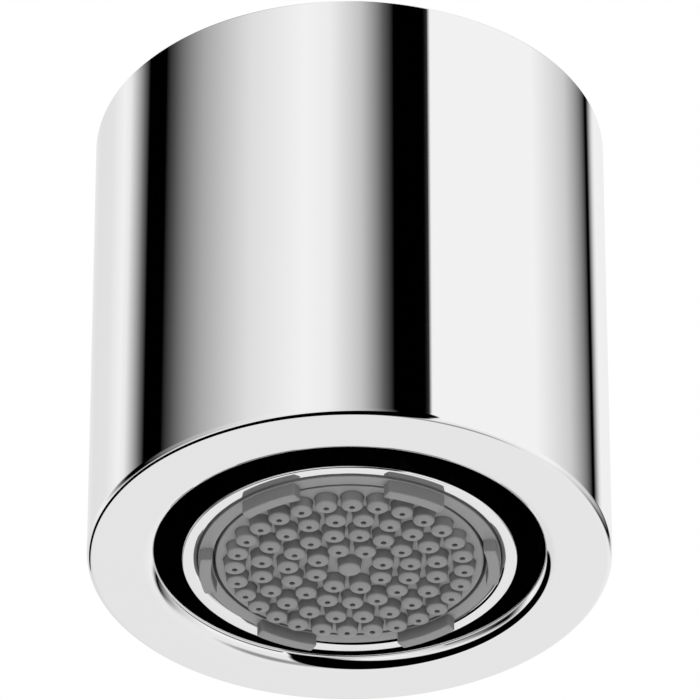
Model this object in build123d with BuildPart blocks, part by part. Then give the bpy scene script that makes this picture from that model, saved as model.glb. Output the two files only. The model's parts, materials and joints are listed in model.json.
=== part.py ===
from build123d import *
from math import cos, radians, sin, sqrt
import os

os.makedirs("parts", exist_ok=True)

# Driving dimensions, in millimetres and degrees

# Body: a turned cylinder, open below for the spray insert and above for the pipe
body_diameter = 50.0
body_height = 48.0
underside_edge_radius = 0.58
top_edge_chamfer = 0.2
recess_lip_radius = 1.47

# Inlet: half-inch parallel pipe thread at its minor diameter, with a relief for the washer
inlet_thread_diameter = 18.63
inlet_thread_length = 8.5
relief_depth = 1.4
washer_thickness = 2.0
washer_bore_diameter = 12.4
washer_headroom = 0.3
washer_side_gap = 0.1
strainer_thickness = 0.4
strainer_hole_diameter = 0.8
strainer_hole_pitch = 1.15
strainer_hole_rows = 4
passage_diameter = 8.0

# Flow regulator: a moulded body with an elastic ring in its channel and an O-ring round it
regulator_diameter = 12.8
regulator_height = 3.8
regulator_side_gap = 0.1
regulator_end_gap = 0.1
regulator_core_diameter = 6.0
regulator_ring_section = 1.2
regulator_ring_gap = 1.0
regulator_channel_depth = 2.2
regulator_port_diameter = 0.8
regulator_port_count = 10
regulator_seal_section = 0.9
regulator_seal_lift = 0.3

# Ball nipple: threaded stem, flange, neck and ball, with a waterway and a hexagon socket
nipple_thread_diameter = 15.0
nipple_thread_length = 4.8
nipple_end_gap = 0.2
nipple_seal_section = 1.5
flange_diameter = 18.0
flange_thickness = 1.4
neck_diameter = 8.0
ball_diameter = 13.0
ball_flat_depth = 1.3
waterway_diameter = 5.0
hexagon_across_flats = 6.0
hexagon_depth = 3.0

# Swivel: how far the insert tilts, and the room that leaves
tilt_limit = 8.0
swing_gap = 2.35
swing_clearance = 0.35
seat_clearance = 0.05
running_clearance = 0.05
thread_clearance = 0.05
seal_clearance = 0.02
stop_ring_height = 2.0
stop_ring_split = 1.0
stop_clearance = 0.3
stop_end_gap = 0.1

# Insert housing: the sleeve with the bezel face, the web and the hub of the ball socket
bezel_diameter = 31.9
bezel_bore_diameter = 28.9
bezel_mouth_radius = 0.55
bezel_edge_chamfer = 0.15
sleeve_top_chamfer = 0.6
web_thickness = 1.5
web_hole_diameter = 9.0
web_clearance = 0.4
socket_wall = 3.05
hub_wall = 1.95
friction_ring_height = 3.4
friction_ring_split = 1.2
ball_seal_bore_gap = 0.1
nut_height = 2.5
nut_engagement = 2.0
nut_mouth_gap = 0.2
nut_mouth_flare = 0.5
nut_slot_width = 1.6
nut_slot_depth = 0.9
nut_slot_count = 4

# Cartridge: ring with lugs, nozzle mat, distributor plate and gasket
ring_bore_diameter = 26.1
ring_skirt_wall = 0.8
ring_skirt_relief = 0.5
lug_count = 6
lug_width = 5.88
lug_turn = -3.2
lug_height = 1.35
lug_inset = 0.1
lug_edge_radius = 0.15
mat_gap = 0.28
mat_thickness = 2.2
mat_flange_thickness = 1.0
mat_flange_gap = 0.1
nozzle_tip_diameter = 2.08
nozzle_root_diameter = 2.12
nozzle_reach = 1.17
nozzle_dome_height = 0.16
nozzle_flat_diameter = 1.1
nozzle_hole_diameter = 0.54
boss_diameter = 2.2
plate_thickness = 2.0
feed_hole_diameter = 1.1
cartridge_seal_thickness = 1.2
cartridge_seal_width = 1.9

# Nozzle rows from the middle outwards: distance from the axis, count, and angle of the first nozzle
nozzle_row_radii = [3.33, 5.86, 8.42, 10.92]
nozzle_row_counts = [8, 15, 20, 28]
nozzle_row_angles = [26.8, 15.2, 9.0, 1.25]
nozzle_rows = list(zip(nozzle_row_radii, nozzle_row_counts, nozzle_row_angles))

# Levels, with zero at the mouth of the inlet and the underside below it
underside = -body_height
face = underside
mat_ledge = face + mat_thickness
mat_top = mat_ledge + mat_flange_thickness
nozzle_tip = face - nozzle_reach
plate_top = mat_top + plate_thickness
web_bottom = plate_top + cartridge_seal_thickness
web_top = web_bottom + web_thickness
ball_radius = ball_diameter / 2
seat_radius = ball_radius + seat_clearance
ball_centre = web_top + sqrt((ball_radius + web_clearance) ** 2 - (web_hole_diameter / 2) ** 2)
nut_bottom = ball_centre + friction_ring_height
nut_top = nut_bottom + nut_height
hub_top = nut_bottom + nut_engagement

# Radii of the ball socket
socket_radius = ball_radius + socket_wall
hub_radius = socket_radius + hub_wall
nut_radius = socket_radius - thread_clearance
mouth_radius = ball_radius + nut_mouth_gap
flare_radius = mouth_radius + nut_mouth_flare

# Room that the socket sweeps as the insert tilts, which sets the flange and the stop ring
tilt = radians(tilt_limit)
nut_sweep = nut_radius * sin(tilt) + (nut_top - ball_centre) * cos(tilt)
hub_sweep = hub_radius * sin(tilt) + (hub_top - ball_centre) * cos(tilt)
flange_bottom = ball_centre + max(nut_sweep, hub_sweep) + swing_clearance
recess_top = flange_bottom + flange_thickness
stop_radius = flare_radius * cos(tilt) - (nut_top - ball_centre) * sin(tilt) - stop_clearance
stop_top = flange_bottom - stop_end_gap
neck_radius = neck_diameter / 2

# Levels and radii in the upper half of the body
recess_radius = bezel_diameter / 2 + swing_gap
stem_top = recess_top + nipple_thread_length
socket_top = stem_top + nipple_end_gap
inlet_radius = inlet_thread_diameter / 2
relief_radius = inlet_radius + relief_depth
relief_top = -inlet_thread_length
shoulder = relief_top - washer_headroom - washer_thickness - strainer_thickness
pocket_bottom = shoulder - regulator_height - regulator_end_gap
pocket_radius = regulator_diameter / 2 + regulator_side_gap
washer_radius = inlet_radius - washer_side_gap
strainer_top = shoulder + strainer_thickness

# Body shell
with BuildPart() as body_shell:
    with BuildSketch(Plane.XZ):
        with BuildLine():
            Polyline(
                (body_diameter / 2, 0),
                (body_diameter / 2, underside),
                (recess_radius, underside),
                (recess_radius, recess_top),
                (nipple_thread_diameter / 2, recess_top),
                (nipple_thread_diameter / 2, socket_top),
                (passage_diameter / 2, socket_top),
                (passage_diameter / 2, pocket_bottom),
                (pocket_radius, pocket_bottom),
                (pocket_radius, shoulder),
                (relief_radius, shoulder),
                (relief_radius, relief_top),
                (inlet_radius, relief_top),
                (inlet_radius, 0),
                close=True,
            )
        make_face()
    revolve(axis=Axis.Z)
    underside_edges = body_shell.edges().group_by(Axis.Z)[0].sort_by(SortBy.RADIUS)
    fillet(underside_edges[0], recess_lip_radius)
    underside_rim = body_shell.edges().group_by(Axis.Z)[0].sort_by(SortBy.RADIUS)[-1]
    fillet(underside_rim, underside_edge_radius)
    top_rim = body_shell.edges().group_by(Axis.Z)[-1].sort_by(SortBy.RADIUS)[-1]
    chamfer(top_rim, top_edge_chamfer)
body_shell.part.label = "body_shell"
export_step(body_shell.part, "parts/body_shell.step")

# Inlet washer
with BuildPart() as inlet_washer:
    with BuildSketch(Plane.XY.offset(strainer_top)):
        Circle(washer_radius)
        Circle(washer_bore_diameter / 2, mode=Mode.SUBTRACT)
    extrude(amount=washer_thickness)
inlet_washer.part.label = "inlet_washer"
export_step(inlet_washer.part, "parts/inlet_washer.step")

# Inlet strainer, a perforated disc
with BuildPart() as inlet_strainer:
    with BuildSketch(Plane.XY.offset(shoulder)):
        Circle(washer_radius)
        Circle(strainer_hole_diameter / 2, mode=Mode.SUBTRACT)
        for row in range(1, strainer_hole_rows + 1):
            with PolarLocations(row * strainer_hole_pitch, 6 * row):
                Circle(strainer_hole_diameter / 2, mode=Mode.SUBTRACT)
    extrude(amount=strainer_thickness)
inlet_strainer.part.label = "inlet_strainer"
export_step(inlet_strainer.part, "parts/inlet_strainer.step")

# Flow regulator body, with the channel of the elastic ring and the groove of the O-ring
regulator_radius = regulator_diameter / 2
regulator_top = pocket_bottom + regulator_height
channel_floor = regulator_top - regulator_channel_depth
core_radius = regulator_core_diameter / 2
channel_radius = core_radius + regulator_ring_gap + regulator_ring_section
regulator_groove_bottom = pocket_bottom + regulator_seal_lift
with BuildPart() as regulator_housing:
    with BuildSketch(Plane.XY.offset(pocket_bottom)):
        Circle(regulator_radius)
    extrude(amount=regulator_height)
    with BuildSketch(Plane.XY.offset(channel_floor)):
        Circle(channel_radius)
        Circle(core_radius, mode=Mode.SUBTRACT)
    extrude(amount=regulator_channel_depth, mode=Mode.SUBTRACT)
    with BuildSketch(Plane.XY.offset(pocket_bottom)):
        with PolarLocations(core_radius + regulator_ring_gap / 2, regulator_port_count):
            Circle(regulator_port_diameter / 2)
    extrude(amount=regulator_height, mode=Mode.SUBTRACT)
    with BuildSketch(Plane.XY.offset(regulator_groove_bottom)):
        Circle(regulator_radius)
        Circle(regulator_radius - regulator_seal_section, mode=Mode.SUBTRACT)
    extrude(amount=regulator_seal_section + 2 * seal_clearance, mode=Mode.SUBTRACT)
regulator_housing.part.label = "regulator_housing"
export_step(regulator_housing.part, "parts/regulator_housing.step")

# Elastic ring of the regulator
with BuildPart() as regulator_ring:
    with Locations((0, 0, channel_floor + regulator_ring_section / 2 + seal_clearance)):
        Torus(
            channel_radius - regulator_ring_section / 2 - seal_clearance,
            regulator_ring_section / 2,
        )
regulator_ring.part.label = "regulator_ring"
export_step(regulator_ring.part, "parts/regulator_ring.step")

# O-ring round the regulator
with BuildPart() as regulator_seal:
    with Locations((0, 0, regulator_groove_bottom + regulator_seal_section / 2 + seal_clearance)):
        Torus(
            regulator_radius - regulator_seal_section / 2 + seal_clearance,
            regulator_seal_section / 2,
        )
regulator_seal.part.label = "regulator_seal"
export_step(regulator_seal.part, "parts/regulator_seal.step")

# Ball nipple
stem_radius = nipple_thread_diameter / 2 - thread_clearance
nipple_groove_floor = stem_radius - nipple_seal_section
nipple_groove_height = nipple_seal_section + 2 * seal_clearance
nipple_groove_bottom = (recess_top + stem_top - nipple_groove_height) / 2
ball_flat = ball_centre - ball_radius + ball_flat_depth
with BuildPart() as ball_nipple:
    with Locations((0, 0, ball_centre)):
        Sphere(ball_radius)
    with BuildSketch(Plane.XY.offset(ball_centre)):
        Circle(neck_radius)
    extrude(amount=flange_bottom - ball_centre)
    with BuildSketch(Plane.XY.offset(flange_bottom)):
        Circle(flange_diameter / 2)
    extrude(amount=flange_thickness)
    with BuildSketch(Plane.XY.offset(recess_top)):
        Circle(stem_radius)
    extrude(amount=nipple_thread_length)
    with BuildSketch(Plane.XY.offset(nipple_groove_bottom)):
        Circle(stem_radius)
        Circle(nipple_groove_floor, mode=Mode.SUBTRACT)
    extrude(amount=nipple_groove_height, mode=Mode.SUBTRACT)
    with BuildSketch(Plane.XY.offset(ball_flat)):
        Circle(ball_radius)
    extrude(amount=-ball_flat_depth, mode=Mode.SUBTRACT)
    with BuildSketch(Plane.XY.offset(ball_flat)):
        Circle(waterway_diameter / 2)
    extrude(amount=stem_top - ball_flat, mode=Mode.SUBTRACT)
    with BuildSketch(Plane.XY.offset(ball_flat)):
        RegularPolygon(hexagon_across_flats / 2, 6, major_radius=False)
    extrude(amount=hexagon_depth, mode=Mode.SUBTRACT)
ball_nipple.part.label = "ball_nipple"
export_step(ball_nipple.part, "parts/ball_nipple.step")

# O-ring on the nipple's stem
with BuildPart() as nipple_seal:
    with Locations((0, 0, nipple_groove_bottom + nipple_groove_height / 2)):
        Torus(
            nipple_groove_floor + nipple_seal_section / 2 + seal_clearance,
            nipple_seal_section / 2,
        )
nipple_seal.part.label = "nipple_seal"
export_step(nipple_seal.part, "parts/nipple_seal.step")

# Stop ring, split so that it clips round the neck
with BuildPart() as stop_ring:
    with BuildSketch(Plane.XY.offset(stop_top)):
        Circle(stop_radius)
        Circle(neck_radius + running_clearance, mode=Mode.SUBTRACT)
        with Locations((0, neck_radius)):
            Rectangle(stop_ring_split, 2 * neck_radius, mode=Mode.SUBTRACT)
    extrude(amount=-stop_ring_height)
stop_ring.part.label = "stop_ring"
export_step(stop_ring.part, "parts/stop_ring.step")

# Insert housing: sleeve with the bezel face below, web, and hub round the ball
bezel_radius = bezel_diameter / 2
with BuildPart() as insert_housing:
    with BuildSketch(Plane.XZ):
        with BuildLine():
            Polyline(
                (bezel_bore_diameter / 2, face),
                (bezel_radius, face),
                (bezel_radius, web_top),
                (hub_radius, web_top),
                (hub_radius, hub_top),
                (socket_radius, hub_top),
                (socket_radius, web_top),
                (web_hole_diameter / 2, web_top),
                (web_hole_diameter / 2, web_bottom),
                (bezel_bore_diameter / 2, web_bottom),
                close=True,
            )
        make_face()
    revolve(axis=Axis.Z)
    bezel_mouth = insert_housing.edges().group_by(Axis.Z)[0].sort_by(SortBy.RADIUS)[0]
    fillet(bezel_mouth, bezel_mouth_radius)
    bezel_rim = insert_housing.edges().group_by(Axis.Z)[0].sort_by(SortBy.RADIUS)[-1]
    chamfer(bezel_rim, bezel_edge_chamfer)
    sleeve_rim = insert_housing.edges().filter_by(
        lambda edge: abs(edge.center().Z - web_top) < seal_clearance
    ).sort_by(SortBy.RADIUS)[-1]
    chamfer(sleeve_rim, sleeve_top_chamfer)
insert_housing.part.label = "insert_housing"
export_step(insert_housing.part, "parts/insert_housing.step")

# Ball seal, a cup under the ball's equator
seal_cup_radius = socket_radius - seal_clearance
with BuildPart() as ball_seal:
    with BuildSketch(Plane.XY.offset(web_top)):
        Circle(seal_cup_radius)
        Circle(web_hole_diameter / 2 + ball_seal_bore_gap, mode=Mode.SUBTRACT)
    extrude(amount=ball_centre - web_top)
    with Locations((0, 0, ball_centre)):
        Sphere(seat_radius, mode=Mode.SUBTRACT)
ball_seal.part.label = "ball_seal"
export_step(ball_seal.part, "parts/ball_seal.step")

# Friction ring over the ball's equator, split so that it passes the ball
with BuildPart() as friction_ring:
    with BuildSketch(Plane.XY.offset(ball_centre)):
        Circle(seal_cup_radius)
        with Locations((0, socket_radius / 2)):
            Rectangle(friction_ring_split, socket_radius, mode=Mode.SUBTRACT)
    extrude(amount=friction_ring_height)
    with Locations((0, 0, ball_centre)):
        Sphere(seat_radius, mode=Mode.SUBTRACT)
friction_ring.part.label = "friction_ring"
export_step(friction_ring.part, "parts/friction_ring.step")

# Retaining nut, with a flared mouth and spanner slots
with BuildPart() as retaining_nut:
    with BuildSketch(Plane.XZ):
        with BuildLine():
            Polyline(
                (mouth_radius, nut_bottom),
                (nut_radius, nut_bottom),
                (nut_radius, nut_top),
                (flare_radius, nut_top),
                close=True,
            )
        make_face()
    revolve(axis=Axis.Z)
    with BuildSketch(Plane.XY.offset(nut_top)):
        with PolarLocations(nut_radius, nut_slot_count):
            Rectangle(2 * (nut_radius - mouth_radius) + nut_slot_width, nut_slot_width)
    extrude(amount=-nut_slot_depth, mode=Mode.SUBTRACT)
retaining_nut.part.label = "retaining_nut"
export_step(retaining_nut.part, "parts/retaining_nut.step")

# Cartridge seal, a flat gasket between the distributor plate and the web
ring_radius = bezel_bore_diameter / 2 - thread_clearance
skirt_bore_radius = ring_radius - ring_skirt_wall
mat_flange_radius = skirt_bore_radius - mat_flange_gap
with BuildPart() as cartridge_seal:
    with BuildSketch(Plane.XY.offset(plate_top)):
        Circle(mat_flange_radius)
        Circle(mat_flange_radius - cartridge_seal_width, mode=Mode.SUBTRACT)
    extrude(amount=cartridge_seal_thickness)
cartridge_seal.part.label = "cartridge_seal"
export_step(cartridge_seal.part, "parts/cartridge_seal.step")

# Distributor plate, with one feed hole over each nozzle
with BuildPart() as distributor_plate:
    with BuildSketch(Plane.XY.offset(mat_top)):
        Circle(mat_flange_radius)
        for row_radius, nozzle_count, start_angle in nozzle_rows:
            with PolarLocations(row_radius, nozzle_count, start_angle=start_angle):
                Circle(feed_hole_diameter / 2, mode=Mode.SUBTRACT)
    extrude(amount=plate_thickness)
distributor_plate.part.label = "distributor_plate"
export_step(distributor_plate.part, "parts/distributor_plate.step")

# Nozzle mat: disc with a clamped flange, rows of nozzles and a blind boss in the middle
mat_radius = ring_bore_diameter / 2 - mat_gap
nozzle_shaft = nozzle_reach - nozzle_dome_height
low_end = (Align.CENTER, Align.CENTER, Align.MIN)
high_end = (Align.CENTER, Align.CENTER, Align.MAX)
with BuildPart() as nozzle_mat:
    with BuildSketch(Plane.XY.offset(face)):
        Circle(mat_radius)
    extrude(amount=mat_thickness)
    with BuildSketch(Plane.XY.offset(mat_ledge)):
        Circle(mat_flange_radius)
    extrude(amount=mat_flange_thickness)
    with Locations((0, 0, nozzle_tip)):
        Cone(nozzle_flat_diameter / 2, boss_diameter / 2, nozzle_dome_height, align=low_end)
    with Locations((0, 0, face)):
        Cylinder(boss_diameter / 2, nozzle_shaft, align=high_end)
    for row_radius, nozzle_count, start_angle in nozzle_rows:
        with PolarLocations(row_radius, nozzle_count, start_angle=start_angle):
            with Locations((0, 0, face)):
                Cone(
                    nozzle_tip_diameter / 2,
                    nozzle_root_diameter / 2,
                    nozzle_shaft,
                    align=high_end,
                )
            with Locations((0, 0, nozzle_tip)):
                Cone(
                    nozzle_flat_diameter / 2,
                    nozzle_tip_diameter / 2,
                    nozzle_dome_height,
                    align=low_end,
                )
    for row_radius, nozzle_count, start_angle in nozzle_rows:
        with PolarLocations(row_radius, nozzle_count, start_angle=start_angle):
            with Locations((0, 0, nozzle_tip)):
                Cone(
                    nozzle_hole_diameter / 2,
                    feed_hole_diameter / 2,
                    mat_top - nozzle_tip,
                    align=low_end,
                    mode=Mode.SUBTRACT,
                )
nozzle_mat.part.label = "nozzle_mat"
export_step(nozzle_mat.part, "parts/nozzle_mat.step")

# Cartridge ring: flat face below, threaded skirt above it, and lugs under the face
ring_bore_radius = ring_bore_diameter / 2
skirt_top = plate_top - ring_skirt_relief
with BuildPart() as cartridge_ring:
    with BuildSketch(Plane.XZ):
        with BuildLine():
            Polyline(
                (ring_bore_radius, face),
                (ring_radius, face),
                (ring_radius, skirt_top),
                (skirt_bore_radius, skirt_top),
                (skirt_bore_radius, mat_ledge),
                (ring_bore_radius, mat_ledge),
                close=True,
            )
        make_face()
    revolve(axis=Axis.Z)
    with BuildSketch(Plane.XY.offset(face)) as lug_plan:
        with PolarLocations(ring_radius / 2, lug_count, start_angle=lug_turn):
            Rectangle(ring_radius, lug_width)
        Circle(ring_radius - lug_inset, mode=Mode.INTERSECT)
        Circle(ring_bore_radius + lug_inset, mode=Mode.SUBTRACT)
        fillet(lug_plan.vertices(), lug_edge_radius)
    extrude(amount=-lug_height)
    fillet(cartridge_ring.edges().group_by(Axis.Z)[0], lug_edge_radius)
cartridge_ring.part.label = "cartridge_ring"
export_step(cartridge_ring.part, "parts/cartridge_ring.step")
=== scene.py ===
import json
from math import asin, cos, pi, radians, sin, tau

import bmesh
import bpy
from bpy.props import FloatProperty, FloatVectorProperty, IntProperty, PointerProperty
from bpy.types import Operator, Panel, PropertyGroup
from mathutils import Matrix, Vector


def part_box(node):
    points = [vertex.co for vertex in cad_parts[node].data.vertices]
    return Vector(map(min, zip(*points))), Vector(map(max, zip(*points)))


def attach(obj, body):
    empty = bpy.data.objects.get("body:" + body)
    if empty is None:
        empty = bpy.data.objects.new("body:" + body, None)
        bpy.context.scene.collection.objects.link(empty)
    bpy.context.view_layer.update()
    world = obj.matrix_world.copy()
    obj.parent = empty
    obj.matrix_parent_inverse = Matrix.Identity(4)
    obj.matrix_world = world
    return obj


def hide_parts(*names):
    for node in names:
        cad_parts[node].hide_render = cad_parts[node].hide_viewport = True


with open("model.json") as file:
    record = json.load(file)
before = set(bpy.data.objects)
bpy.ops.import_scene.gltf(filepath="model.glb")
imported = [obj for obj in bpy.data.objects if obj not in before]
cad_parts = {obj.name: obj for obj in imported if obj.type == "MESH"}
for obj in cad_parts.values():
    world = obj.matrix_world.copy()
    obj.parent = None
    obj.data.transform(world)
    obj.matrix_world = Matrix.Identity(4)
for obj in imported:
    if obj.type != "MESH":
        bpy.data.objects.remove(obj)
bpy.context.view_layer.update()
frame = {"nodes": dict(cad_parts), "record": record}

bl_info = {
    "name": "Shower head dressing",
    "version": (1, 0, 0),
    "blender": (4, 5, 0),
    "location": "View3D > Sidebar > Shower head",
    "description": "Dresses a chromed shower head with its spray insert, finishes and studio",
    "category": "Add Mesh",
}

SHELL_BODY = "shell"
INSERT_BODY = "spray_insert"
UNDERSIDE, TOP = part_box("body_shell")[0][2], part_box("body_shell")[1][2]
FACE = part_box("insert_housing")[0][2]
MM = 0.001
MERGE_DISTANCE = 1e-7
SHARP_ANGLE = radians(35)


def length(name, description, millimetres):
    """A length property whose default is given in millimetres."""
    return FloatProperty(
        name=name,
        description=description,
        default=millimetres * MM,
        precision=5,
        subtype="DISTANCE",
        unit="LENGTH",
    )


def turn(name, description, degrees):
    """An angle property whose default is given in degrees."""
    return FloatProperty(
        name=name, description=description, default=radians(degrees), subtype="ANGLE", unit="ROTATION"
    )


def colour(name, description, value):
    """A linear colour property."""
    return FloatVectorProperty(
        name=name, description=description, default=value, size=3, min=0.0, max=1.0, subtype="COLOR"
    )


class ShowerBodySizes(PropertyGroup):
    """Sizes of the chromed body and its inlet."""

    edge_radius: length("Edge radius", "Rounding of the underside's outer edge", 0.58)
    top_edge_radius: length("Top edge radius", "Broken edge round the top", 0.2)
    recess_radius: length("Recess radius", "Radius of the recess that holds the insert", 18.3)
    lip_radius: length("Lip radius", "Rounding of the recess lip", 1.47)
    recess_depth: length("Recess depth", "Height of the recess over the underside", 22.045)
    nipple_radius: length("Nipple hole radius", "Hole that the ball nipple screws into", 7.5)
    nipple_depth: length("Nipple hole depth", "Depth of the nipple's hole", 5.0)
    passage_radius: length("Passage radius", "Waterway between the nipple and the regulator", 4.0)
    pocket_radius: length("Pocket radius", "Pocket of the flow regulator", 6.5)
    pocket_depth: length("Pocket depth", "Depth of the regulator's pocket", 3.9)
    relief_radius: length("Relief radius", "Relief groove below the thread", 10.72)
    relief_height: length("Relief height", "Height of the relief groove", 2.7)
    thread_root_radius: length("Thread root radius", "Root of the half-inch pipe thread", 10.48)
    thread_crest_radius: length("Thread crest radius", "Crest of the half-inch pipe thread", 9.33)
    thread_length: length("Thread length", "Length of the threaded bore", 8.5)
    thread_pitch: length("Thread pitch", "Pitch of the half-inch pipe thread", 1.814)
    mouth_chamfer: length("Mouth chamfer", "Chamfer at the inlet's mouth", 0.6)


class ShowerInsertSizes(PropertyGroup):
    """Sizes of the insert housing and the ring with lugs."""

    bezel_radius: length("Bezel radius", "Outer radius of the bezel", 15.95)
    bore_radius: length("Bore radius", "Inner radius of the bezel", 14.45)
    bezel_edge: length("Bezel edge", "Broken outer edge of the bezel face", 0.15)
    mouth_round: length("Mouth rounding", "Rounding at the mouth of the bezel's bore", 0.55)
    sleeve_chamfer: length("Sleeve chamfer", "Chamfer at the sleeve's upper edge", 0.6)
    web_bottom: length("Web bottom", "Height of the web over the bezel face", 6.4)
    web_thickness: length("Web thickness", "Thickness of the web", 1.5)
    web_hole_radius: length("Web hole radius", "Hole that lets water into the cartridge", 4.5)
    socket_radius: length("Socket radius", "Bore of the ball socket", 9.55)
    hub_radius: length("Hub radius", "Outside of the ball socket", 11.5)
    ring_radius: length("Ring radius", "Outer radius of the ring and its skirt", 14.4)
    ring_bore_radius: length("Ring bore radius", "Inner radius of the ring at the face", 13.05)
    skirt_bore_radius: length("Skirt bore radius", "Inner radius of the skirt", 13.6)
    ledge_height: length("Ledge height", "Height of the ledge under the nozzle mat", 2.2)
    skirt_height: length("Skirt height", "Height of the skirt's top over the face", 4.7)
    ring_edge: length("Ring edge", "Rounding of the ring's edges at the face", 0.08)
    lug_count: IntProperty(name="Lugs", description="Number of lugs on the ring", default=6, min=1)
    lug_width: length("Lug width", "Distance between a lug's parallel ends", 5.88)
    lug_turn: turn("Lug turn", "Turn of the lug pattern about the axis", -3.2)
    lug_height: length("Lug height", "How far the lugs stand below the face", 1.35)
    lug_inset: length("Lug inset", "Step from the ring's edges to a lug", 0.1)
    lug_edge: length("Lug edge", "Rounding of a lug's edges", 0.15)


class ShowerNozzleSizes(PropertyGroup):
    """Sizes of the nozzle mat."""

    mat_radius: length("Mat radius", "Radius of the mat at the face", 12.77)
    flange_radius: length("Flange radius", "Radius of the clamped flange", 13.5)
    thickness: length("Mat thickness", "Thickness of the mat below its flange", 2.2)
    flange_thickness: length("Flange thickness", "Thickness of the clamped flange", 1.0)
    edge_radius: length("Mat edge", "Rounding of the mat's edge", 0.12)
    tip_radius: length("Tip radius", "Radius of a nozzle below its dome", 1.04)
    root_radius: length("Root radius", "Radius of a nozzle at its root", 1.06)
    root_fillet: length("Root fillet", "Fillet between a nozzle and the mat", 0.06)
    dome_height: length("Dome height", "Height of a nozzle's domed tip", 0.16)
    flat_radius: length("Flat radius", "Radius of the flat in the middle of a tip", 0.55)
    tip_edge: length("Tip edge", "Rounding between a nozzle's side and its dome", 0.15)
    reach: length("Reach", "How far the nozzles stand below the face", 1.17)
    hole_radius: length("Hole radius", "Radius of a nozzle's hole", 0.27)
    hole_depth: length("Hole depth", "Depth to which a hole is modelled", 1.4)
    rim_width: length("Rim width", "Width of the raised rim round a hole", 0.09)
    rim_height: length("Rim height", "Height of the raised rim round a hole", 0.03)
    boss_radius: length("Boss radius", "Radius of the blind boss in the middle", 1.1)


class ShowerFinishes(PropertyGroup):
    """Colours of the finishes."""

    chrome: colour("Chrome", "Polished chrome plate", (0.88, 0.88, 0.885))
    # Recess: a very dark metal colour that paints the shade inside the recess and the bezel's bore
    recess: colour("Recess", "Dull plating inside the recess", (0.1, 0.1, 0.102))
    silicone: colour("Silicone", "Grey silicone of the nozzles", (0.275, 0.275, 0.28))
    ring: colour("Ring", "Grey plastic of the ring with lugs", (0.29, 0.29, 0.295))
    brass: colour("Brass", "Turned brass inside the joint", (0.78, 0.58, 0.28))
    rubber: colour("Rubber", "Black rubber of the seals", (0.022, 0.022, 0.024))
    plastic: colour("Plastic", "White moulded plastic", (0.76, 0.75, 0.71))
    steel: colour("Steel", "Strainer sheet", (0.62, 0.62, 0.61))
    floor: colour("Floor", "Pale studio floor", (0.86, 0.86, 0.86))


class ShowerStudio(PropertyGroup):
    """The camera and the light."""

    lens: FloatProperty(name="Lens", description="Focal length in millimetres", default=392.9)
    pitch: turn("Pitch", "How far the camera looks up", 34.9)
    distance: length("Distance", "Camera's distance from the underside, along its axis", 726.65)
    drop: length("Drop", "How far the underside's centre lies below the picture's centre", 20.08)
    side: length("Side", "How far the underside's centre lies left of the picture's centre", 0.04)
    floor_drop: length("Floor drop", "Height of the inlet over the floor", 1200.0)
    floor_size: length("Floor size", "Side of the floor", 6000.0)
    ambient: FloatProperty(name="Ambient", description="Level of the plain soft light", default=0.25)
    lamp_power: FloatProperty(
        name="Lamp power", description="Power of the soft lamp below the head", default=9.1, unit="POWER"
    )
    lamp_size: length("Lamp size", "Diameter of the soft lamp", 1200.0)
    lamp_drop: length("Lamp drop", "Height of the inlet over the lamp", 1150.0)
    front_power: FloatProperty(
        name="Front lamp power", description="Power of the soft lamp in front", default=4.2, unit="POWER"
    )
    front_size: length("Front lamp size", "Diameter of the front lamp", 800.0)
    front_distance: length("Front lamp distance", "Front lamp's distance from the axis", 1400.0)
    front_drop: length("Front lamp drop", "Height of the inlet over the front lamp", 300.0)


# Nozzle rows: radius in metres, count, and angle of the first nozzle in degrees
NOZZLE_ROWS = (
    (3.33 * MM, 8, 26.8),
    (5.86 * MM, 15, 15.2),
    (8.42 * MM, 20, 9.0),
    (10.92 * MM, 28, 1.25),
)

# Softboxes and black flags round the object: azimuth in degrees from the camera's side, and brightness
STUDIO_PANELS = (
    (-180, 0.87), (-155, 0.80), (-136, 0.84), (-123, 0.98), (-118, 0.90), (-106.5, 0.15), (-103, 0.0),
    (-91.5, 0.0), (-86, 0.08), (-69, 0.435), (-45, 0.82), (-20, 1.0), (-9, 0.95), (0, 0.73), (5, 0.60),
    (15, 0.12), (19.5, 0.0), (33.5, 0.0), (35.2, 0.03), (36.6, 1.0), (90, 1.0), (114, 0.665),
    (128, 0.23), (134.5, 0.0), (137, 0.0), (143.5, 0.78), (147, 0.95), (180, 0.87),
)
# Steep directions see no panels but one plain level; the heights are those of a unit direction
LOW_LEVEL = 0.9
LOW_START, LOW_END = -0.42, -0.7
# The long black flag under the head covers the directions in front of both planes, with a soft edge
FLAG_PLANES = ((1.74, 1.0, -1.55), (-1.74, -1.0, -0.33))
FLAG_SOFTNESS = 0.03
# A soft shade beside the flag: its direction, its spread and how much light it takes
SHADE_DIRECTION = (0.3, 0.1, -0.9)
SHADE_SPREAD = radians(19)
SHADE_DEPTH = 0.65

SENSOR_WIDTH = 36.0

# Steps of a full turn, and the angles at which a lug's curved sides are divided
BODY_STEPS = 256
NOZZLE_STEPS = 32
THREAD_STEPS = 72
LUG_ANGLES = [radians(2.5 * step) for step in range(-4, 5)]

# Thread ridge: half widths as shares of the pitch, its sink into the wall, and its gap at the relief
RIDGE_HALF_ROOT = 0.48
RIDGE_HALF_CREST = 0.1
RIDGE_SINK = 0.05 * MM
RIDGE_GAP = 0.02 * MM
LUG_SINK = 0.1 * MM

# Roundings of a nozzle's tip, as shares of the flat's radius and of the rim's width
BOSS_FLAT_ROUND = 0.5
NOZZLE_FLAT_ROUND = 0.15
RIM_ROUND = 0.3

# Noise values lie mostly in this range
NOISE_LOW, NOISE_HIGH = 0.3, 0.7


# Mesh tools


def nearest_vertex(bm, radius, height):
    """The vertex of a half section nearest to a corner."""
    corner = Vector((radius, 0.0, height))
    return min(bm.verts, key=lambda vertex: (vertex.co - corner).length_squared)


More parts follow.
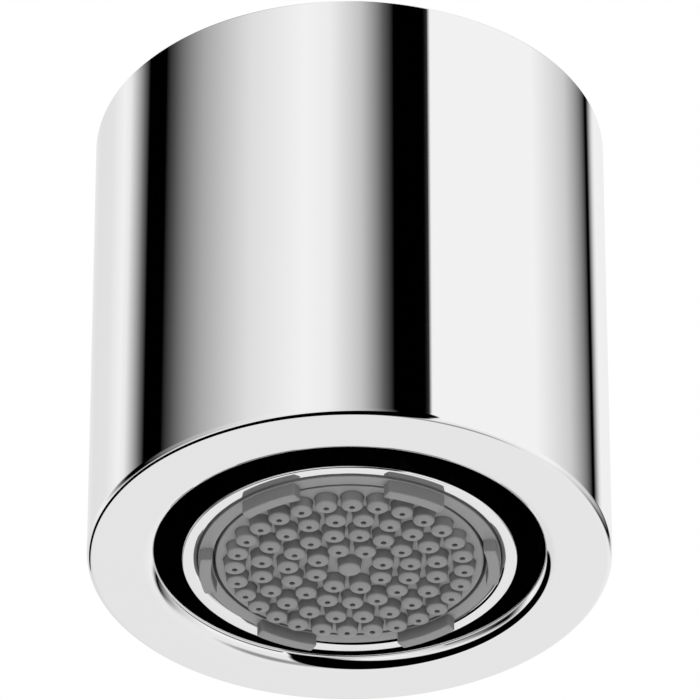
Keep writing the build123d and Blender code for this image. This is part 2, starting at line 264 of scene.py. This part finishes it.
def round_off(bm, geometry, radius, segments, affect):
    """Rounds the given corners or edges."""
    bmesh.ops.bevel(
        bm,
        geom=geometry,
        offset=radius,
        offset_type="OFFSET",
        affect=affect,
        segments=segments,
        profile=0.5,
        material=-1,
    )


def everything(bm):
    """All the geometry of a bmesh."""
    return bm.verts[:] + bm.edges[:] + bm.faces[:]


def vertices_in(geometry):
    """The vertices in a list of geometry."""
    return [item for item in geometry if isinstance(item, bmesh.types.BMVert)]


def half_section(bm, outline, rounds=()):
    """Draws a half section in the XZ plane and rounds corners, given as place, radius and segments."""
    bm.faces.new([bm.verts.new((radius, 0.0, height)) for radius, height in outline])
    for corner, radius, segments in rounds:
        round_off(bm, [nearest_vertex(bm, *corner)], radius, segments, "VERTICES")


def turn_section(bm, steps):
    """Spins the half section in a bmesh into a closed turned piece."""
    bmesh.ops.delete(bm, geom=bm.faces[:], context="FACES_ONLY")
    bmesh.ops.spin(
        bm,
        geom=bm.verts[:] + bm.edges[:],
        cent=(0, 0, 0),
        axis=(0, 0, 1),
        dvec=(0, 0, 0),
        angle=tau,
        steps=steps,
        use_merge=True,
        use_duplicate=False,
    )
    close_up(bm)


def close_up(bm):
    """Merges doubles, drops loose edges on the axis and turns the faces outwards."""
    bmesh.ops.remove_doubles(bm, verts=bm.verts[:], dist=MERGE_DISTANCE)
    loose = [edge for edge in bm.edges if not edge.link_faces]
    bmesh.ops.delete(bm, geom=loose, context="EDGES")
    bmesh.ops.recalc_face_normals(bm, faces=bm.faces[:])


def spread_copies(bm, places):
    """Replaces the geometry of a bmesh by one copy at each place, given as matrices."""
    pattern = everything(bm)
    for place in places:
        copy = bmesh.ops.duplicate(bm, geom=pattern)["geom"]
        bmesh.ops.transform(bm, matrix=place, space=Matrix.Identity(4), verts=vertices_in(copy))
    bmesh.ops.delete(bm, geom=vertices_in(pattern), context="VERTS")


def join(bm, other):
    """Moves the geometry of another bmesh into this one."""
    mesh = bpy.data.meshes.new("joined")
    other.to_mesh(mesh)
    other.free()
    bm.from_mesh(mesh)
    bpy.data.meshes.remove(mesh)


def dull_inside(bm, radius, low, high):
    """Gives the faces inside a bore, between two heights, the second finish: the dark metal that paints the
    shade there.
    """
    for face in bm.faces:
        centre = face.calc_center_median()
        if centre.xy.length < radius + MERGE_DISTANCE and low < centre.z < high:
            face.material_index = 1


def finish_piece(bm, name, body, materials, node):
    """Writes a bmesh to a smooth-shaded piece that rides on a body and stands for a node."""
    for face in bm.faces:
        face.smooth = True
    for edge in bm.edges:
        edge.smooth = edge.calc_face_angle(0.0) < SHARP_ANGLE
    mesh = bpy.data.meshes.new(name)
    bm.to_mesh(mesh)
    bm.free()
    for material in materials:
        mesh.materials.append(material)
    piece = bpy.data.objects.new(name, mesh)
    bpy.context.scene.collection.objects.link(piece)
    normals = piece.modifiers.new("Flat faces stay flat", "WEIGHTED_NORMAL")
    normals.keep_sharp = True
    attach(piece, body)
    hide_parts(node)


# Material tools


def new_material(name):
    """A node material with a Principled shader; returns the material, its tree and the shader."""
    material = bpy.data.materials.new(name)
    material.use_nodes = True
    tree = material.node_tree
    return material, tree, tree.nodes["Principled BSDF"]


def noise(tree, scale, detail, stretch=(1, 1, 1)):
    """Noise on Object coordinates, in features per metre."""
    place = tree.nodes.new("ShaderNodeTexCoord")
    mapping = tree.nodes.new("ShaderNodeMapping")
    mapping.inputs["Scale"].default_value = stretch
    texture = tree.nodes.new("ShaderNodeTexNoise")
    texture.inputs["Scale"].default_value = scale
    texture.inputs["Detail"].default_value = detail
    tree.links.new(place.outputs["Object"], mapping.inputs["Vector"])
    tree.links.new(mapping.outputs["Vector"], texture.inputs["Vector"])
    return texture.outputs["Fac"]


def spread(tree, value, low, high):
    """Maps a noise value to a range."""
    node = tree.nodes.new("ShaderNodeMapRange")
    node.inputs["From Min"].default_value = NOISE_LOW
    node.inputs["From Max"].default_value = NOISE_HIGH
    node.inputs["To Min"].default_value = low
    node.inputs["To Max"].default_value = high
    tree.links.new(value, node.inputs["Value"])
    return node.outputs["Result"]


def tint(tree, value, base, change):
    """A colour that varies a little about its base."""
    mix = tree.nodes.new("ShaderNodeMix")
    mix.data_type = "RGBA"
    mix.inputs["A"].default_value = (*[channel * (1 - change) for channel in base], 1)
    mix.inputs["B"].default_value = (*[min(1.0, channel * (1 + change)) for channel in base], 1)
    tree.links.new(value, mix.inputs["Factor"])
    return mix.outputs["Result"]


def bump(tree, value, strength, distance):
    """A bump normal from a height value."""
    node = tree.nodes.new("ShaderNodeBump")
    node.inputs["Strength"].default_value = strength
    node.inputs["Distance"].default_value = distance
    tree.links.new(value, node.inputs["Height"])
    return node.outputs["Normal"]


def chrome_plate(finishes):
    """Polished chrome: a mirror with faint wiping marks in its gloss."""
    material, tree, shader = new_material("chrome_plate")
    shader.inputs["Metallic"].default_value = 1.0
    marks = noise(tree, 160.0, detail=4.0, stretch=(1, 1, 0.15))
    tree.links.new(tint(tree, marks, finishes.chrome, 0.004), shader.inputs["Base Color"])
    tree.links.new(spread(tree, marks, 0.015, 0.03), shader.inputs["Roughness"])
    return material


def recess_shade_plate(finishes):
    """Very dark, dull metal inside the recess and the bezel's bore, which paints the shade there."""
    material, tree, shader = new_material("recess_shade_plate")
    shader.inputs["Metallic"].default_value = 1.0
    cloud = noise(tree, 180.0, detail=4.0)
    tree.links.new(tint(tree, cloud, finishes.recess, 0.1), shader.inputs["Base Color"])
    tree.links.new(spread(tree, cloud, 0.22, 0.3), shader.inputs["Roughness"])
    return material


def moulded(name, base, roughness, change, grain, depth):
    """A moulded plastic or rubber: slight tone changes and a fine grain."""
    material, tree, shader = new_material(name)
    cloud = noise(tree, 260.0, detail=2.0)
    fine = noise(tree, grain, detail=4.0)
    tree.links.new(tint(tree, cloud, base, change), shader.inputs["Base Color"])
    tree.links.new(spread(tree, fine, roughness - 0.05, roughness + 0.05), shader.inputs["Roughness"])
    tree.links.new(bump(tree, fine, 0.25, depth), shader.inputs["Normal"])
    shader.inputs["Specular IOR Level"].default_value = 0.4
    return material


def turned_brass(finishes):
    """Turned brass: tool lines round the axis over a slightly uneven tone."""
    material, tree, shader = new_material("turned_brass")
    shader.inputs["Metallic"].default_value = 1.0
    lines = noise(tree, 900.0, detail=2.0, stretch=(0.05, 0.05, 4.0))
    cloud = noise(tree, 120.0, detail=3.0)
    tree.links.new(tint(tree, cloud, finishes.brass, 0.08), shader.inputs["Base Color"])
    tree.links.new(spread(tree, lines, 0.2, 0.38), shader.inputs["Roughness"])
    tree.links.new(bump(tree, lines, 0.3, 2e-5), shader.inputs["Normal"])
    return material


def strainer_sheet(finishes):
    """Rolled steel sheet with its grain along X."""
    material, tree, shader = new_material("strainer_sheet")
    shader.inputs["Metallic"].default_value = 1.0
    grain = noise(tree, 2500.0, detail=2.0, stretch=(0.05, 1, 1))
    tree.links.new(tint(tree, grain, finishes.steel, 0.06), shader.inputs["Base Color"])
    tree.links.new(spread(tree, grain, 0.28, 0.42), shader.inputs["Roughness"])
    return material


def made_once(maker, finishes):
    """The material named as the function that makes it, made the first time it is asked for."""
    return bpy.data.materials.get(maker.__name__) or maker(finishes)


def plating(scene):
    """Polished chrome for the outside, and for the inside a very dark dull metal that paints the shade
    there.
    """
    finishes = scene.shower_finishes
    return [made_once(chrome_plate, finishes), made_once(recess_shade_plate, finishes)]


# Operators


class SHOWER_OT_body(Operator):
    """Turns the chromed body with its recess, inlet and pipe thread."""

    bl_idname = "shower_head.body"
    bl_label = "Body"

    def execute(self, context):
        sizes = context.scene.shower_body
        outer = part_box("body_shell")[1][0]
        recess_top = UNDERSIDE + sizes.recess_depth
        nipple_top = recess_top + sizes.nipple_depth
        relief_top = TOP - sizes.thread_length
        shoulder = relief_top - sizes.relief_height
        pocket_bottom = shoulder - sizes.pocket_depth
        bm = bmesh.new()
        outline = (
            (outer, TOP),
            (outer, UNDERSIDE),
            (sizes.recess_radius, UNDERSIDE),
            (sizes.recess_radius, recess_top),
            (sizes.nipple_radius, recess_top),
            (sizes.nipple_radius, nipple_top),
            (sizes.passage_radius, nipple_top),
            (sizes.passage_radius, pocket_bottom),
            (sizes.pocket_radius, pocket_bottom),
            (sizes.pocket_radius, shoulder),
            (sizes.relief_radius, shoulder),
            (sizes.relief_radius, relief_top),
            (sizes.thread_root_radius, relief_top),
            (sizes.thread_root_radius, TOP - sizes.mouth_chamfer),
            (sizes.thread_root_radius + sizes.mouth_chamfer, TOP),
        )
        rounds = (
            ((outer, TOP), sizes.top_edge_radius, 4),
            ((outer, UNDERSIDE), sizes.edge_radius, 10),
            ((sizes.recess_radius, UNDERSIDE), sizes.lip_radius, 24),
        )
        half_section(bm, outline, rounds)
        turn_section(bm, BODY_STEPS)
        # The recess above the lip's rounding gets the dark metal of painted shade
        dull_inside(bm, sizes.recess_radius, UNDERSIDE + sizes.lip_radius, shoulder)
        self.cut_thread(bm, sizes, relief_top)
        finish_piece(bm, "chromed_body", SHELL_BODY, plating(context.scene), "body_shell")
        return {"FINISHED"}

    def cut_thread(self, bm, sizes, relief_top):
        """Adds the helical ridge of the pipe thread, trimmed at both ends of the bore."""
        ridge = bmesh.new()
        half_root = RIDGE_HALF_ROOT * sizes.thread_pitch
        half_crest = RIDGE_HALF_CREST * sizes.thread_pitch
        root = sizes.thread_root_radius + RIDGE_SINK
        start = relief_top - sizes.thread_pitch
        section = (
            (root, start - half_root),
            (sizes.thread_crest_radius, start - half_crest),
            (sizes.thread_crest_radius, start + half_crest),
            (root, start + half_root),
        )
        half_section(ridge, section)
        turns = round(sizes.thread_length / sizes.thread_pitch) + 2
        bmesh.ops.spin(
            ridge,
            geom=ridge.faces[:],
            cent=(0, 0, 0),
            axis=(0, 0, 1),
            dvec=(0, 0, sizes.thread_pitch / THREAD_STEPS),
            angle=tau * turns,
            steps=THREAD_STEPS * turns,
            use_merge=False,
            use_duplicate=False,
        )
        for height, side in ((TOP - sizes.mouth_chamfer / 2, 1), (relief_top + RIDGE_GAP, -1)):
            cut = bmesh.ops.bisect_plane(
                ridge,
                geom=everything(ridge),
                plane_co=(0, 0, height),
                plane_no=(0, 0, side),
                clear_outer=True,
            )
            edges = [item for item in cut["geom_cut"] if isinstance(item, bmesh.types.BMEdge)]
            bmesh.ops.holes_fill(ridge, edges=edges)
        bmesh.ops.recalc_face_normals(ridge, faces=ridge.faces[:])
        join(bm, ridge)


class SHOWER_OT_insert_housing(Operator):
    """Turns the insert housing with its polished bezel."""

    bl_idname = "shower_head.insert_housing"
    bl_label = "Insert housing"

    def execute(self, context):
        sizes = context.scene.shower_insert
        hub_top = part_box("insert_housing")[1][2]
        web_bottom = FACE + sizes.web_bottom
        web_top = web_bottom + sizes.web_thickness
        outline = (
            (sizes.bore_radius, FACE),
            (sizes.bezel_radius, FACE),
            (sizes.bezel_radius, web_top),
            (sizes.hub_radius, web_top),
            (sizes.hub_radius, hub_top),
            (sizes.socket_radius, hub_top),
            (sizes.socket_radius, web_top),
            (sizes.web_hole_radius, web_top),
            (sizes.web_hole_radius, web_bottom),
            (sizes.bore_radius, web_bottom),
        )
        rounds = (
            ((sizes.bore_radius, FACE), sizes.mouth_round, 10),
            ((sizes.bezel_radius, FACE), sizes.bezel_edge, 5),
            ((sizes.bezel_radius, web_top), sizes.sleeve_chamfer, 1),
        )
        bm = bmesh.new()
        half_section(bm, outline, rounds)
        turn_section(bm, BODY_STEPS)
        # The bore above the mouth's rounding gets the dark metal of painted shade
        dull_inside(bm, sizes.bore_radius, FACE + sizes.mouth_round, hub_top)
        finish_piece(bm, "insert_bezel", INSERT_BODY, plating(context.scene), "insert_housing")
        return {"FINISHED"}


class SHOWER_OT_lug_ring(Operator):
    """Models the grey ring and pulls its lugs out of the face."""

    bl_idname = "shower_head.lug_ring"
    bl_label = "Ring with lugs"

    def execute(self, context):
        sizes = context.scene.shower_insert
        finishes = context.scene.shower_finishes
        outline = (
            (sizes.ring_bore_radius, FACE),
            (sizes.ring_radius, FACE),
            (sizes.ring_radius, FACE + sizes.skirt_height),
            (sizes.skirt_bore_radius, FACE + sizes.skirt_height),
            (sizes.skirt_bore_radius, FACE + sizes.ledge_height),
            (sizes.ring_bore_radius, FACE + sizes.ledge_height),
        )
        rounds = (
            ((sizes.ring_bore_radius, FACE), sizes.ring_edge, 3),
            ((sizes.ring_radius, FACE), sizes.ring_edge, 3),
        )
        bm = bmesh.new()
        half_section(bm, outline, rounds)
        turn_section(bm, BODY_STEPS)
        lugs = self.first_lug(sizes)
        turns = [sizes.lug_turn + tau * index / sizes.lug_count for index in range(sizes.lug_count)]
        spread_copies(lugs, [Matrix.Rotation(angle, 4, "Z") for angle in turns])
        join(bm, lugs)
        plastic = moulded(
            "moulded_ring", finishes.ring, roughness=0.42, change=0.03, grain=6000.0, depth=1e-5
        )
        finish_piece(bm, "lug_ring", INSERT_BODY, [plastic], "cartridge_ring")
        return {"FINISHED"}

    def first_lug(self, sizes):
        """One lug on the X axis, with parallel ends and curved sides, sunk a little into the ring."""
        inner = sizes.ring_bore_radius + sizes.lug_inset
        outer = sizes.ring_radius - sizes.lug_inset
        half = sizes.lug_width / 2
        sunk = FACE + LUG_SINK
        inside, outside = asin(half / inner), asin(half / outer)
        points = [(outer, angle) for angle in (-outside, *LUG_ANGLES, outside)]
        points += [(inner, angle) for angle in (inside, *reversed(LUG_ANGLES), -inside)]
        bm = bmesh.new()
        plan = [bm.verts.new((radius * cos(angle), radius * sin(angle), sunk)) for radius, angle in points]
        bm.faces.new(plan)
        corners = [plan[0], plan[len(LUG_ANGLES) + 1], plan[len(LUG_ANGLES) + 2], plan[-1]]
        round_off(bm, corners, sizes.lug_edge, 4, "VERTICES")
        pulled = bmesh.ops.extrude_face_region(bm, geom=bm.faces[:])["geom"]
        ends = vertices_in(pulled)
        bmesh.ops.translate(bm, verts=ends, vec=(0, 0, FACE - sizes.lug_height - sunk))
        bmesh.ops.recalc_face_normals(bm, faces=bm.faces[:])
        rim = [edge for edge in bm.edges if all(vertex in ends for vertex in edge.verts)]
        round_off(bm, rim, sizes.lug_edge, 4, "EDGES")
        for angle in LUG_ANGLES:
            bmesh.ops.bisect_plane(
                bm,
                geom=everything(bm),
                dist=MERGE_DISTANCE,
                plane_co=(0, 0, 0),
                plane_no=(-sin(angle), cos(angle), 0),
            )
        bmesh.ops.recalc_face_normals(bm, faces=bm.faces[:])
        return bm


class SHOWER_OT_nozzle_mat(Operator):
    """Models the silicone mat with its rows of nozzles and blind boss."""

    bl_idname = "shower_head.nozzle_mat"
    bl_label = "Nozzle mat"

    def execute(self, context):
        sizes = context.scene.shower_nozzles
        finishes = context.scene.shower_finishes
        ledge = FACE + sizes.thickness
        top = ledge + sizes.flange_thickness
        bm = bmesh.new()
        outline = (
            (0.0, FACE),
            (sizes.mat_radius, FACE),
            (sizes.mat_radius, ledge),
            (sizes.flange_radius, ledge),
            (sizes.flange_radius, top),
            (0.0, top),
        )
        half_section(bm, outline, (((sizes.mat_radius, FACE), sizes.edge_radius, 4),))
        turn_section(bm, BODY_STEPS)
        nozzles = self.first_nozzle(sizes, sizes.tip_radius, sizes.root_radius, True)
        places = []
        for radius, count, start in NOZZLE_ROWS:
            for index in range(count):
                angle = radians(start) + tau * index / count
                places.append(Matrix.Translation((radius * cos(angle), radius * sin(angle), 0.0)))
        spread_copies(nozzles, places)
        join(bm, nozzles)
        join(bm, self.first_nozzle(sizes, sizes.boss_radius, sizes.boss_radius, False))
        silicone = moulded(
            "moulded_silicone", finishes.silicone, roughness=0.45, change=0.03, grain=6000.0, depth=1e-5
        )
        finish_piece(bm, "nozzle_face", INSERT_BODY, [silicone], "nozzle_mat")
        return {"FINISHED"}

    def first_nozzle(self, sizes, tip_radius, root_radius, holed):
        """One nozzle on the axis, or the blind boss."""
        tip = FACE - sizes.reach
        shoulder = tip + sizes.dome_height
        sunk = FACE + sizes.root_fillet / 2
        flare = root_radius + sizes.root_fillet
        flat_round = NOZZLE_FLAT_ROUND if holed else BOSS_FLAT_ROUND
        outline = [
            (0.0, sunk),
            (flare, sunk),
            (flare, FACE),
            (root_radius, FACE),
            (tip_radius, shoulder),
            (sizes.flat_radius, tip),
        ]
        rounds = [
            ((tip_radius, shoulder), sizes.tip_edge, 5),
            ((root_radius, FACE), sizes.root_fillet, 6),
            ((sizes.flat_radius, tip), flat_round * sizes.flat_radius, 4),
        ]
        if holed:
            rim = sizes.hole_radius + sizes.rim_width
            outline += [
                (rim + sizes.rim_width, tip),
                (rim, tip - sizes.rim_height),
                (sizes.hole_radius, tip),
                (sizes.hole_radius, tip + sizes.hole_depth),
                (0.0, tip + sizes.hole_depth),
            ]
            rounds.append(((rim, tip - sizes.rim_height), RIM_ROUND * sizes.rim_width, 2))
        else:
            outline.append((0.0, tip))
        bm = bmesh.new()
        half_section(bm, outline, rounds)
        turn_section(bm, NOZZLE_STEPS)
        return bm


class SHOWER_OT_inner_pieces(Operator):
    """Gives the pieces inside the head their finishes."""

    bl_idname = "shower_head.inner_pieces"
    bl_label = "Inner pieces"

    def execute(self, context):
        finishes = context.scene.shower_finishes
        finish_of_slot = {
            "bare_brass": turned_brass(finishes),
            "black_rubber": moulded(
                "moulded_rubber", finishes.rubber, roughness=0.55, change=0.15, grain=3000.0, depth=2e-5
            ),
            "white_plastic": moulded(
                "moulded_plastic", finishes.plastic, roughness=0.4, change=0.02, grain=4000.0, depth=1e-5
            ),
            "steel_sheet": strainer_sheet(finishes),
        }
        for part in frame["record"]["subparts"]:
            finish = finish_of_slot.get(part["material_slot"])
            if finish is None:
                continue
            node = frame["nodes"][part["node"]]
            for holder in node.material_slots:
                holder.material = finish
        return {"FINISHED"}


class SHOWER_OT_stage(Operator):
    """Sets up the floor, the studio light and the camera."""

    bl_idname = "shower_head.stage"
    bl_label = "Stage"

    def execute(self, context):
        studio = context.scene.shower_studio
        self.lay_floor(context, studio)
        self.light_world(context, studio)
        below = Vector((0.0, 0.0, TOP - studio.lamp_drop))
        self.hang_lamp(context, "soft_lamp", below, studio.lamp_size, studio.lamp_power)
        ahead = Vector((0.0, -studio.front_distance, TOP - studio.front_drop))
        self.hang_lamp(context, "front_lamp", ahead, studio.front_size, studio.front_power)
        self.set_camera(context, studio)
        context.scene.view_settings.view_transform = "Standard"
        return {"FINISHED"}

    def lay_floor(self, context, studio):
        """A plain pale floor far below the head, which hangs from its pipe."""
        bm = bmesh.new()
        bmesh.ops.create_grid(bm, x_segments=1, y_segments=1, size=studio.floor_size / 2)
        bmesh.ops.translate(bm, verts=bm.verts[:], vec=(0, 0, TOP - studio.floor_drop))
        mesh = bpy.data.meshes.new("floor")
        bm.to_mesh(mesh)
        bm.free()
        material, tree, shader = new_material("pale_floor")
        shader.inputs["Base Color"].default_value = (*context.scene.shower_finishes.floor, 1)
        shader.inputs["Roughness"].default_value = 0.9
        light_path = tree.nodes.new("ShaderNodeLightPath")
        white = tree.nodes.new("ShaderNodeEmission")
        mix = tree.nodes.new("ShaderNodeMixShader")
        tree.links.new(light_path.outputs["Is Camera Ray"], mix.inputs["Fac"])
        tree.links.new(shader.outputs["BSDF"], mix.inputs[1])
        tree.links.new(white.outputs["Emission"], mix.inputs[2])
        tree.links.new(mix.outputs["Shader"], tree.nodes["Material Output"].inputs["Surface"])
        mesh.materials.append(material)
        floor = bpy.data.objects.new("floor", mesh)
        floor.visible_glossy = False
        context.scene.collection.objects.link(floor)

    def light_world(self, context, studio):
        """White for the camera, softboxes and flags for the chrome, and plain soft light for the rest."""
        world = bpy.data.worlds.new("studio")
        world.use_nodes = True
        context.scene.world = world
        tree = world.node_tree
        tree.nodes.clear()
        new = tree.nodes.new
        link = tree.links.new
        direction = new("ShaderNodeTexCoord").outputs["Generated"]
        parts = new("ShaderNodeSeparateXYZ")
        link(direction, parts.inputs["Vector"])
        backwards = new("ShaderNodeMath")
        backwards.operation = "MULTIPLY"
        backwards.inputs[1].default_value = -1.0
        link(parts.outputs["Y"], backwards.inputs[0])
        azimuth = new("ShaderNodeMath")
        azimuth.operation = "ARCTAN2"
        link(parts.outputs["X"], azimuth.inputs[0])
        link(backwards.outputs["Value"], azimuth.inputs[1])
        right_side = new("ShaderNodeMath")
        right_side.operation = "GREATER_THAN"
        right_side.inputs[1].default_value = 0.0
        link(azimuth.outputs["Value"], right_side.inputs[0])
        left_panels = self.panels(tree, azimuth.outputs["Value"], -180, 0)
        right_panels = self.panels(tree, azimuth.outputs["Value"], 0, 180)
        panels = self.blend(tree, right_side.outputs["Value"], left_panels, right_panels)
        low = new("ShaderNodeRGB").outputs["Color"]
        low.default_value = (LOW_LEVEL, LOW_LEVEL, LOW_LEVEL, 1)
        level = self.blend(tree, self.ramp(tree, parts.outputs["Z"], LOW_END, LOW_START), low, panels)
        sides = [self.towards(tree, direction, plane) for plane in FLAG_PLANES]
        flag = self.product(tree, *[self.ramp(tree, side, -FLAG_SOFTNESS, FLAG_SOFTNESS) for side in sides])
        towards_shade = self.towards(tree, direction, SHADE_DIRECTION)
        shade = self.ramp(tree, towards_shade, cos(SHADE_SPREAD), 1.0, 1.0, 1.0 - SHADE_DEPTH)
        clear = self.product(tree, self.ramp(tree, flag, 0.0, 1.0, 1.0, 0.0), shade)
        seen_by_chrome = new("ShaderNodeBackground")
        link(level, seen_by_chrome.inputs["Color"])
        link(clear, seen_by_chrome.inputs["Strength"])
        plain = new("ShaderNodeBackground")
        plain.inputs["Color"].default_value = (1, 1, 1, 1)
        plain.inputs["Strength"].default_value = studio.ambient
        white = new("ShaderNodeBackground")
        white.inputs["Color"].default_value = (1, 1, 1, 1)
        light_path = new("ShaderNodeLightPath")
        glossy = new("ShaderNodeMixShader")
        link(light_path.outputs["Is Glossy Ray"], glossy.inputs["Fac"])
        link(plain.outputs["Background"], glossy.inputs[1])
        link(seen_by_chrome.outputs["Background"], glossy.inputs[2])
        camera = new("ShaderNodeMixShader")
        link(light_path.outputs["Is Camera Ray"], camera.inputs["Fac"])
        link(glossy.outputs["Shader"], camera.inputs[1])
        link(white.outputs["Background"], camera.inputs[2])
        output = new("ShaderNodeOutputWorld")
        link(camera.outputs["Shader"], output.inputs["Surface"])

    def panels(self, tree, azimuth, start, end):
        """The softboxes and flags between two azimuths."""
        around = tree.nodes.new("ShaderNodeMapRange")
        around.inputs["From Min"].default_value = radians(start)
        around.inputs["From Max"].default_value = radians(end)
        tree.links.new(azimuth, around.inputs["Value"])
        node = tree.nodes.new("ShaderNodeValToRGB")
        stops = node.color_ramp.elements
        stops.remove(stops[-1])
        shown = [panel for panel in STUDIO_PANELS if start <= panel[0] <= end]
        for index, (degrees, level) in enumerate(shown):
            place = (degrees - start) / (end - start)
            stop = stops[0] if index == 0 else stops.new(place)
            stop.position = place
            stop.color = (level, level, level, 1)
        tree.links.new(around.outputs["Result"], node.inputs["Fac"])
        return node.outputs["Color"]

    def blend(self, tree, factor, first, second):
        """Blends two colours."""
        node = tree.nodes.new("ShaderNodeMix")
        node.data_type = "RGBA"
        tree.links.new(factor, node.inputs["Factor"])
        tree.links.new(first, node.inputs["A"])
        tree.links.new(second, node.inputs["B"])
        return node.outputs["Result"]

    def towards(self, tree, direction, axis):
        """How nearly a direction points along an axis: one along it and nought square to it."""
        node = tree.nodes.new("ShaderNodeVectorMath")
        node.operation = "DOT_PRODUCT"
        node.inputs[1].default_value = Vector(axis).normalized()
        tree.links.new(direction, node.inputs[0])
        return node.outputs["Value"]

    def ramp(self, tree, value, start, end, low=0.0, high=1.0):
        """Goes smoothly from low to high as a value goes from start to end."""
        node = tree.nodes.new("ShaderNodeMapRange")
        node.interpolation_type = "SMOOTHSTEP"
        node.inputs["From Min"].default_value = start
        node.inputs["From Max"].default_value = end
        node.inputs["To Min"].default_value = low
        node.inputs["To Max"].default_value = high
        tree.links.new(value, node.inputs["Value"])
        return node.outputs["Result"]

    def product(self, tree, first, second):
        """Multiplies two values."""
        node = tree.nodes.new("ShaderNodeMath")
        node.operation = "MULTIPLY"
        tree.links.new(first, node.inputs[0])
        tree.links.new(second, node.inputs[1])
        return node.outputs["Value"]

    def hang_lamp(self, context, name, place, size, power):
        """A round soft lamp that looks at the underside and is seen only by the light it gives."""
        data = bpy.data.lights.new(name, "AREA")
        data.shape = "DISK"
        data.size = size
        data.energy = power
        lamp = bpy.data.objects.new(name, data)
        lamp.location = place
        aim = Vector((0.0, 0.0, UNDERSIDE)) - place
        lamp.rotation_euler = aim.to_track_quat("-Z", "Y").to_euler()
        lamp.visible_camera = False
        lamp.visible_glossy = False
        context.scene.collection.objects.link(lamp)

    def set_camera(self, context, studio):
        """The camera stands low in front and looks up at the underside."""
        forward = Vector((0.0, cos(studio.pitch), sin(studio.pitch)))
        upward = Vector((0.0, -sin(studio.pitch), cos(studio.pitch)))
        centre = Vector((0.0, 0.0, UNDERSIDE))
        data = bpy.data.cameras.new("camera")
        data.lens = studio.lens
        data.sensor_width = SENSOR_WIDTH
        camera = bpy.data.objects.new("camera", data)
        camera.location = centre - studio.distance * forward + studio.drop * upward
        camera.location.x += studio.side
        camera.rotation_euler = (pi / 2 + studio.pitch, 0.0, 0.0)
        context.scene.collection.objects.link(camera)
        context.scene.camera = camera


class SHOWER_PT_panel(Panel):
    """Lists the steps that dress the shower head."""

    bl_idname = "SHOWER_PT_panel"
    bl_label = "Shower head"
    bl_space_type = "VIEW_3D"
    bl_region_type = "UI"
    bl_category = "Shower head"

    def draw(self, context):
        for operator in OPERATORS:
            self.layout.operator(operator.bl_idname)
        for name in SIZE_GROUPS:
            group = getattr(context.scene, name)
            box = self.layout.box()
            box.label(text=name)
            for prop in group.__annotations__:
                box.prop(group, prop)


OPERATORS = (
    SHOWER_OT_body,
    SHOWER_OT_insert_housing,
    SHOWER_OT_lug_ring,
    SHOWER_OT_nozzle_mat,
    SHOWER_OT_inner_pieces,
    SHOWER_OT_stage,
)
SIZE_GROUPS = {
    "shower_body": ShowerBodySizes,
    "shower_insert": ShowerInsertSizes,
    "shower_nozzles": ShowerNozzleSizes,
    "shower_finishes": ShowerFinishes,
    "shower_studio": ShowerStudio,
}


def register():
    """Registers the groups, operators and panel."""
    for name, group in SIZE_GROUPS.items():
        bpy.utils.register_class(group)
        setattr(bpy.types.Scene, name, PointerProperty(type=group))
    for operator in OPERATORS:
        bpy.utils.register_class(operator)
    bpy.utils.register_class(SHOWER_PT_panel)


def unregister():
    """Takes everything out again, in the opposite order."""
    bpy.utils.unregister_class(SHOWER_PT_panel)
    for operator in reversed(OPERATORS):
        bpy.utils.unregister_class(operator)
    for name, group in reversed(SIZE_GROUPS.items()):
        delattr(bpy.types.Scene, name)
        bpy.utils.unregister_class(group)


def main():
    """Builds every piece and the stage."""
    register()
    bpy.ops.shower_head.body()
    bpy.ops.shower_head.insert_housing()
    bpy.ops.shower_head.lug_ring()
    bpy.ops.shower_head.nozzle_mat()
    bpy.ops.shower_head.inner_pieces()
    bpy.ops.shower_head.stage()


if __name__ == "__main__":
    main()
